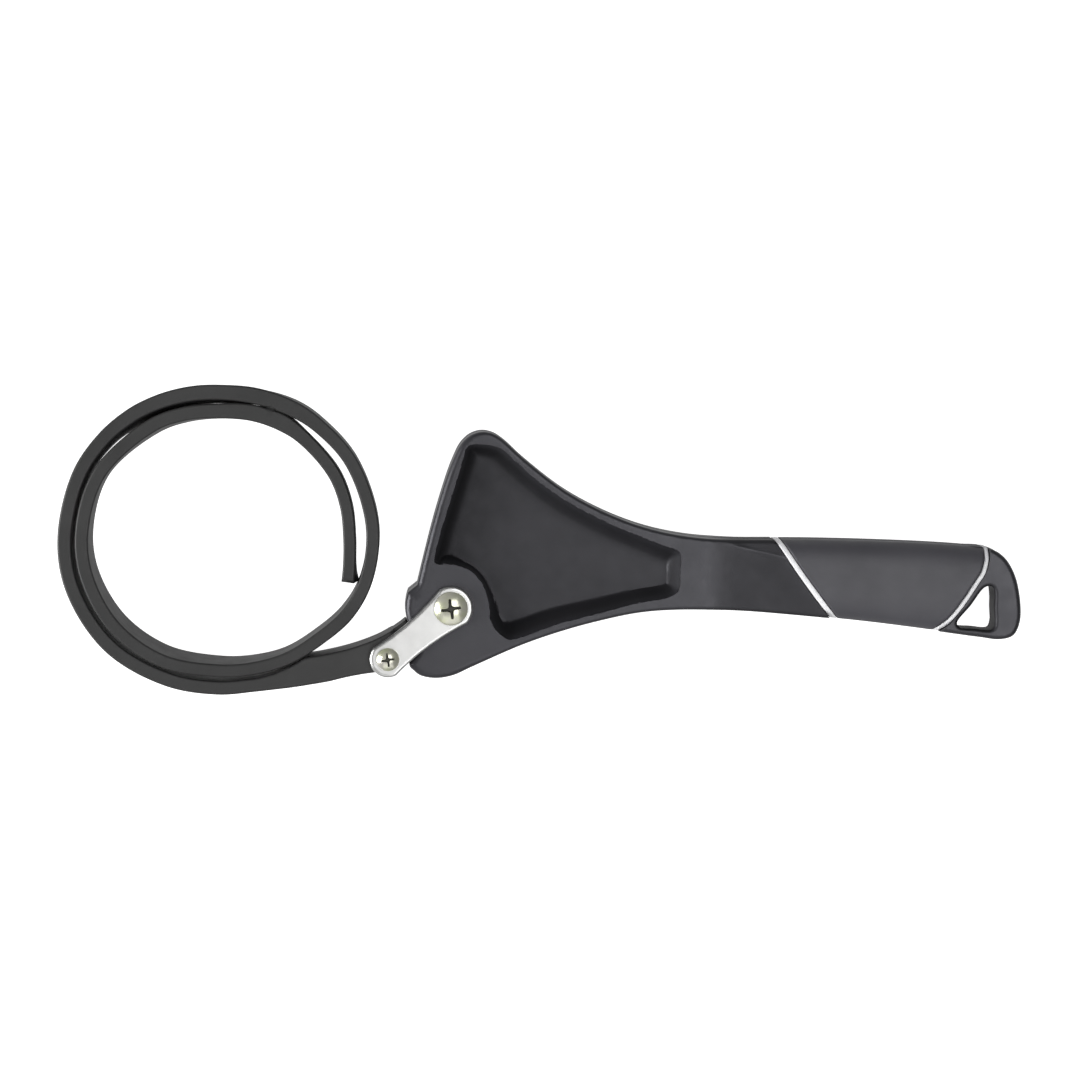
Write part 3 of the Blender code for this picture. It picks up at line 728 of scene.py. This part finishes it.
def make_fastener(name, centre, radius, height, shank, side, recess):
    """A pan head with a cross recess on its shank, at the front (side 1) or rear (side -1)."""
    centre = np.asarray(centre)
    rim = circle(centre, radius, 72)
    cut = cross_plan(radius * 0.17, radius * 0.58) + centre
    floor = cross_plan(radius * 0.12, radius * 0.50) + centre
    camber = 0.66 * height
    ball = (radius ** 2 + camber ** 2) / (2.0 * camber)

    def face(points):
        away = np.linalg.norm(points - centre, axis=1)
        share = np.clip(away / radius, 0.0, 1.0)
        dome = HEAD_SEAT + height - ball + np.sqrt(ball ** 2 - (share * radius) ** 2)
        dome -= fall(radius - away, 0.3)
        wall = ease(signed_distance(points, cut), 0.0, 0.06 * radius)
        return dome - wall * recess * (1.0 - RECESS_TAPER * share)

    turns = np.linspace(0.0, math.pi / 2, 13)[1:-1]
    guides = [(circle(centre, radius * math.sin(t), 72), True, [0.0]) for t in turns]
    guides.append((rim, True, [0.06, 0.13, 0.22, 0.32]))
    guides = [g for g in guides if np.linalg.norm(g[0][0] - centre) > 0.72 * radius]
    guides += [(cut, True, [-0.12, 0.0, 0.02 * radius, 0.04 * radius, 0.06 * radius]),
               (floor, True, [0.0])]
    shank_radius, shank_end = shank
    stem_plan = circle(centre, shank_radius, 48)
    under, stem_top, stem_end = flat(HEAD_SEAT), flat(HEAD_SEAT + 0.2), flat(-shank_end)
    if side < 0:
        face, under = turned_over(under), turned_over(face)
        stem_top, stem_end = turned_over(stem_end), turned_over(stem_top)
    head = relief(name, [rim], face, under, guides, 0.7, sharp=SCREW_SHARP)
    stem = relief(name + "_stem", [stem_plan], stem_top, stem_end, grid=2.0)
    screw = united(head, stem, SCREW_SHARP)
    # Painted shade in the cross recess.
    paint(screw, lambda at: ease(signed_distance(at, cut), -0.02, 0.02 * radius))
    return screw


# ---------------------------------------------------------------- strap

def strap_route():
    """Points along the middle of the even strap, each with its half thickness and its lean."""
    points = []
    for degrees, radius, half, lean in LOOP_ROUTE:
        turn = math.radians(degrees)
        x, y = LOOP_CENTRE + radius * np.array((math.cos(turn), math.sin(turn)))
        points.append((x, y, half, lean))
    return smooth_line(points, 1.1)


def strap_plan(route):
    """The even strap round the loop, joined to its thick end with the eye."""
    middle, half = route[:, :2], route[:, 2, None]
    side = half * leftward(middle, False)
    inner, outer = middle - side, middle + side
    lower = smooth_line([outer[0], *ROOT_LOWER], 1.1)[1:]
    eye = arc(ANCHOR, STRAP_EYE_RADIUS, -105.0, 20.0, 20)
    upper = np.vstack((np.array(ROOT_UPPER[:1]), smooth_line(ROOT_UPPER[1:], 1.1)))
    return np.vstack((outer[::-1], lower, eye, upper, inner))


def lean_strap(obj, route):
    """Moves each point of the even strap sideways with its depth below the front edge."""
    places = points_of(obj.data)
    inward = -leftward(route[:, :2], False)
    tree = KDTree(len(route))
    for i, point in enumerate(route):
        tree.insert((point[0], point[1], 0.0), i)
    tree.balance()
    for place in places:
        _, i, away = tree.find((place[0], place[1], 0.0))
        if away < route[i, 2] + 0.25:
            depth = (STRAP_HALF - place[2]) / (2.0 * STRAP_HALF)
            place[:2] += route[i, 3] * depth * inward[i]
    move_points(obj.data, places)


def make_strap():
    route = strap_route()
    plan = strap_plan(route)

    def height(points):
        return STRAP_HALF - fall(distance_to(points, plan, True), STRAP_EDGE)

    eye = circle(ANCHOR, ANCHOR_BORE, 40, True)
    strap = relief("strap_coil", [plan, eye], height,
                   guides=[(plan, True, round_steps(STRAP_EDGE, 5))], grid=2.0)
    lean_strap(strap, route)
    seat = arc((0.0, 0.0), BOSS_RADIUS + 2 * GAP, 196.0, 211.0, 14)
    tip = np.vstack((seat, np.array(TONGUE)))

    def tongue_height(points):
        return TONGUE_HALF - fall(distance_to(points, tip, True), TONGUE_EDGE)

    tongue = relief("strap_tongue", [tip], tongue_height,
                    guides=[(tip, True, round_steps(TONGUE_EDGE, 4))], grid=2.0)
    return united(strap, tongue)


# ---------------------------------------------------------------- materials

def new_material(name):
    made = bpy.data.materials.new(name)
    made.use_nodes = True
    nodes = made.node_tree.nodes
    nodes.clear()
    out = nodes.new("ShaderNodeOutputMaterial")
    shader = nodes.new("ShaderNodeBsdfPrincipled")
    made.node_tree.links.new(shader.outputs["BSDF"], out.inputs["Surface"])
    return made, nodes, made.node_tree.links, shader


def noise(nodes, links, scale, detail=4.0, roughness=0.55, stretch=None):
    """A noise pattern fixed to the piece. The scale is in patterns to the metre."""
    coordinates = nodes.new("ShaderNodeTexCoord")
    texture = nodes.new("ShaderNodeTexNoise")
    texture.inputs["Scale"].default_value = scale
    texture.inputs["Detail"].default_value = detail
    texture.inputs["Roughness"].default_value = roughness
    source = coordinates.outputs["Object"]
    if stretch:
        mapping = nodes.new("ShaderNodeMapping")
        mapping.inputs["Scale"].default_value = stretch
        links.new(source, mapping.inputs["Vector"])
        source = mapping.outputs["Vector"]
    links.new(source, texture.inputs["Vector"])
    return texture.outputs["Fac"]


def ramp(nodes, links, source, stops):
    """Colours or greys from a pattern's value, as (value, (r, g, b)) stops."""
    made = nodes.new("ShaderNodeValToRGB")
    elements = made.color_ramp.elements
    while len(elements) < len(stops):
        elements.new(0.5)
    for element, (value, colour) in zip(elements, stops):
        element.position = value
        element.color = (*colour, 1.0)
    links.new(source, made.inputs["Fac"])
    return made.outputs["Color"]


def spread(nodes, links, source, low, high, start=0.3, end=0.7):
    """A pattern's value spread between two numbers."""
    made = nodes.new("ShaderNodeMapRange")
    for socket, value in (("From Min", start), ("From Max", end), ("To Min", low),
                          ("To Max", high)):
        made.inputs[socket].default_value = value
    links.new(source, made.inputs["Value"])
    return made.outputs["Result"]


def bump(nodes, links, shader, layers):
    """Bumps laid one over the other, as (pattern, strength, depth in metres)."""
    normal = None
    for source, strength, depth in layers:
        made = nodes.new("ShaderNodeBump")
        made.inputs["Strength"].default_value = strength
        made.inputs["Distance"].default_value = depth
        links.new(source, made.inputs["Height"])
        if normal:
            links.new(normal, made.inputs["Normal"])
        normal = made.outputs["Normal"]
    links.new(normal, shader.inputs["Normal"])


def painted_recess_shade(nodes, links, colour, gloss, dimmer, rougher):
    """Painted shade: the colour dimmed, and the roughness raised, by the piece's recess value."""
    layer = nodes.new("ShaderNodeAttribute")
    layer.attribute_name = "recess"
    shade_of = spread(nodes, links, layer.outputs["Fac"], 1.0, dimmer, 0.0, 1.0)
    darker = nodes.new("ShaderNodeMix")
    darker.data_type = "RGBA"
    darker.blend_type = "MULTIPLY"
    darker.inputs["Factor"].default_value = 1.0
    links.new(colour, darker.inputs["A"])
    links.new(shade_of, darker.inputs["B"])
    deeper = nodes.new("ShaderNodeMath")
    deeper.operation = "MULTIPLY_ADD"
    deeper.inputs[1].default_value = rougher
    links.new(layer.outputs["Fac"], deeper.inputs[0])
    links.new(gloss, deeper.inputs[2])
    return darker.outputs["Result"], deeper.outputs["Value"]


def moulded(name, dark, light, roughness, grain, depth, level, recess=None, tint=None):
    """Moulded plastic or rubber: faint clouding, a fine eroded grain and patchy gloss.

    recess is how much darker, as painted shade, and rougher the surface is where the piece's recess
    value is 1.
    """
    made, nodes, links, shader = new_material(name)
    clouds = noise(nodes, links, 45.0, 3.0)
    fine = noise(nodes, links, grain, 3.0, 0.6)
    colour = ramp(nodes, links, clouds, [(0.3, dark), (0.72, light)])
    smear = noise(nodes, links, 160.0, 4.0)
    gloss = spread(nodes, links, smear, roughness - 0.04, roughness + 0.05)
    if recess:
        colour, gloss = painted_recess_shade(nodes, links, colour, gloss, *recess)
    links.new(colour, shader.inputs["Base Color"])
    links.new(gloss, shader.inputs["Roughness"])
    shader.inputs["Specular IOR Level"].default_value = level
    if tint:
        shader.inputs["Specular Tint"].default_value = (*tint, 1.0)
    waves = noise(nodes, links, 260.0, 2.0)
    bump(nodes, links, shader, [(waves, 0.12, 0.0002), (fine, 0.5, depth)])
    return made


def nylon():
    # Painted shade darkens the pocket, the thumb scoop and the hang hole's walls down to 0.30 of the
    # colour.
    return moulded("nylon", (0.021, 0.021, 0.024), (0.028, 0.028, 0.031), 0.36, 2600.0,
                   0.00004, 0.50, recess=(0.30, 0.20), tint=(1.0, 0.99, 1.07))


def soft_grip():
    return moulded("soft_grip", (0.058, 0.057, 0.066), (0.068, 0.067, 0.077), 0.50, 3400.0,
                   0.00004, 0.50)


def rubber():
    return moulded("rubber", (0.0193, 0.0193, 0.0193), (0.0278, 0.0278, 0.0278), 0.50, 2100.0,
                   0.00005, 0.45)


def white_trim():
    return moulded("white_trim", (0.92, 0.92, 0.94), (0.96, 0.96, 0.98), 0.42, 2400.0,
                   0.00003, 0.45)


def plated(name, tints, roughness, grain, metallic=1.0, recess=None):
    """Plated metal: a thin tint that drifts, fine polishing marks and a little haze."""
    made, nodes, links, shader = new_material(name)
    drift = noise(nodes, links, 190.0, 3.0)
    count = len(tints) - 1
    stops = [(0.3 + 0.4 * k / count, tint) for k, tint in enumerate(tints)]
    haze = noise(nodes, links, 420.0, 4.0)
    colour = ramp(nodes, links, drift, stops)
    gloss = spread(nodes, links, haze, roughness, roughness + 0.07)
    # Painted shade: darker and rougher where the piece's recess value is high.
    if recess:
        colour, gloss = painted_recess_shade(nodes, links, colour, gloss, *recess)
    links.new(colour, shader.inputs["Base Color"])
    links.new(gloss, shader.inputs["Roughness"])
    shader.inputs["Metallic"].default_value = metallic
    marks = noise(nodes, links, 900.0, 2.0, stretch=(1.0, grain, 1.0))
    ripple = noise(nodes, links, 150.0, 1.0)
    bump(nodes, links, shader, [(ripple, 0.10, 0.0002), (marks, 0.08, 0.00002)])
    return made


def chrome():
    return plated("chrome", [(0.66, 0.66, 0.65), (0.71, 0.71, 0.70)], 0.30, 6.0)


def zinc():
    # Painted shade darkens the cross recesses down to 0.12 of the colour.
    tints = [(0.62, 0.65, 0.42), (0.68, 0.68, 0.55), (0.64, 0.62, 0.56)]
    return plated("zinc", tints, 0.20, 1.0, metallic=0.6, recess=(0.12, 0.40))


# ---------------------------------------------------------------- studio

SCALE_PLANE = PIVOT[2] * MM + 0.010     # the front of the strap, which sets the scale
EYE = Vector((-0.0526, 0.0973, SCALE_PLANE + 1.3))
AIM = Vector((-0.0007, 0.0001, SCALE_PLANE))
FRAME_WIDTH = 0.405          # what the picture spans at AIM
ROLL = -0.0032

FLOOR_GLOW = 1.0             # the tool lies on a light table
SKY_GLOW = 0.09
HORIZON_GLOW = 0.32          # the cove round the table
TABLE_GLOW = 0.28            # what the table adds to that from below
LEFT_SHARE = 2.0             # how much more of it comes from the left


def make_camera():
    data = bpy.data.cameras.new("camera")
    data.sensor_width = 36.0
    data.lens = data.sensor_width * (EYE - AIM).length / FRAME_WIDTH
    data.clip_start = 0.05
    camera = bpy.data.objects.new("camera", data)
    camera.location = EYE
    back = (EYE - AIM).normalized()
    right = Vector((ROLL, 1.0, 0.0)).cross(back).normalized()
    camera.rotation_euler = Matrix((right, back.cross(right), back)).transposed().to_euler()
    bpy.context.scene.collection.objects.link(camera)
    bpy.context.scene.camera = camera


def area_light(name, origin, target, size, power):
    """A soft rectangular lamp. Places and sizes are in metres, and the power is in watts."""
    data = bpy.data.lights.new(name, "AREA")
    data.shape = "RECTANGLE"
    data.size, data.size_y = size
    data.energy = power
    light = bpy.data.objects.new(name, data)
    light.location = origin
    light.rotation_euler = (Vector(target) - Vector(origin)).to_track_quat("-Z", "Y").to_euler()
    bpy.context.scene.collection.objects.link(light)


def make_floor():
    mesh = bpy.data.meshes.new("floor")
    reach = 2.5
    corners = [(-reach, -reach, 0.0), (reach, -reach, 0.0), (reach, reach, 0.0),
               (-reach, reach, 0.0)]
    mesh.from_pydata(corners, [], [(0, 1, 2, 3)])
    floor = bpy.data.objects.new("floor", mesh)
    bpy.context.scene.collection.objects.link(floor)
    made, nodes, links, shader = new_material("floor")
    paper = noise(nodes, links, 30.0, 4.0)
    colour = ramp(nodes, links, paper, [(0.3, (0.54, 0.54, 0.54)), (0.7, (0.56, 0.56, 0.56))])
    links.new(colour, shader.inputs["Base Color"])
    shader.inputs["Emission Color"].default_value = (1.0, 1.0, 1.0, 1.0)
    shader.inputs["Emission Strength"].default_value = FLOOR_GLOW
    shader.inputs["Roughness"].default_value = 0.9
    shader.inputs["Specular IOR Level"].default_value = 0.1
    mesh.materials.append(made)
    floor.visible_diffuse = False
    floor.visible_glossy = False


def make_sky():
    """A dim sky that fades towards the horizon, and the table's light below it."""
    world = bpy.data.worlds.new("studio")
    bpy.context.scene.world = world
    world.use_nodes = True
    nodes, links = world.node_tree.nodes, world.node_tree.links
    direction = nodes.new("ShaderNodeTexCoord")
    parts = nodes.new("ShaderNodeSeparateXYZ")
    links.new(direction.outputs["Generated"], parts.inputs["Vector"])
    high = spread(nodes, links, parts.outputs["Z"], HORIZON_GLOW, SKY_GLOW, 0.0, 0.28)
    low = spread(nodes, links, parts.outputs["Z"], TABLE_GLOW, 0.0, -0.08, 0.0)
    left = spread(nodes, links, parts.outputs["X"], LEFT_SHARE, 1.0, -0.9, 0.0)
    glow = nodes.new("ShaderNodeMath")
    glow.operation = "MULTIPLY_ADD"
    links.new(low, glow.inputs[0])
    links.new(left, glow.inputs[1])
    links.new(high, glow.inputs[2])
    sky = nodes["Background"]
    sky.inputs["Color"].default_value = (1.0, 1.0, 1.0, 1.0)
    links.new(glow.outputs["Value"], sky.inputs["Strength"])


def make_studio():
    make_camera()
    make_floor()
    area_light("overhead", (0.45, 0.02, 1.75), (0.10, 0.0, 0.0), (2.0, 0.8), 15.5)
    area_light("left_box", (-1.30, -0.10, 0.50), (0.0, 0.0, 0.0), (0.8, 1.2), 26.0)
    area_light("front_box", (0.0, -1.05, 0.95), (0.0, 0.0, 0.0), (1.6, 0.8), 3.8)
    make_sky()
    bpy.context.scene.view_settings.view_transform = "Standard"


# ---------------------------------------------------------------- assembly

def install(obj, body, slot, material, *nodes):
    """Gives a piece its look and its body, in place of the CAD's nodes."""
    obj.data.materials.clear()
    obj.data.materials.append(material)
    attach(obj, body)
    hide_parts(*nodes)


def build():
    core = nylon()
    install(make_head(), "handle", "nylon", core, "handle_core")
    install(make_butt(), "handle", "nylon", core, "handle_core")
    install(make_grip(), "handle", "soft_grip", soft_grip(), "grip_cover")
    white = white_trim()
    for end, line, half in (("front", FRONT_LINE, FRONT_HALF), ("rear", REAR_LINE, REAR_HALF)):
        trim = make_trim(end + "_trim", line, half)
        install(trim, "handle", "trim", white, end + "_trim_band")
    plate = chrome()
    for end, side in (("front", 1.0), ("rear", -1.0)):
        install(make_link(end + "_link", side), "link", "chrome", plate, end + "_link_plate")
    metal = zinc()
    fasteners = [("pivot_screw_turned", (0.0, 0.0), 6.3, 2.9, (2.5, 7.0), 1.0, 1.9, "pivot_screw"),
                 ("pivot_nut_turned", (0.0, 0.0), 6.3, 1.2, (4.0, 13.8), -1.0, 0.6,
                  "pivot_barrel_nut"),
                 ("anchor_screw_turned", ANCHOR, 4.3, 2.5, (1.8, 7.0), 1.0, 1.6, "anchor_screw"),
                 ("anchor_nut_turned", ANCHOR, 4.3, 1.2, (3.0, 13.8), -1.0, 0.6,
                  "anchor_barrel_nut")]
    for name, centre, radius, height, shank, side, recess, node in fasteners:
        piece = make_fastener(name, centre, radius, height, shank, side, recess)
        install(piece, "link", "zinc", metal, node)
    install(make_strap(), "strap", "rubber", rubber(), "strap")


build()
make_studio()
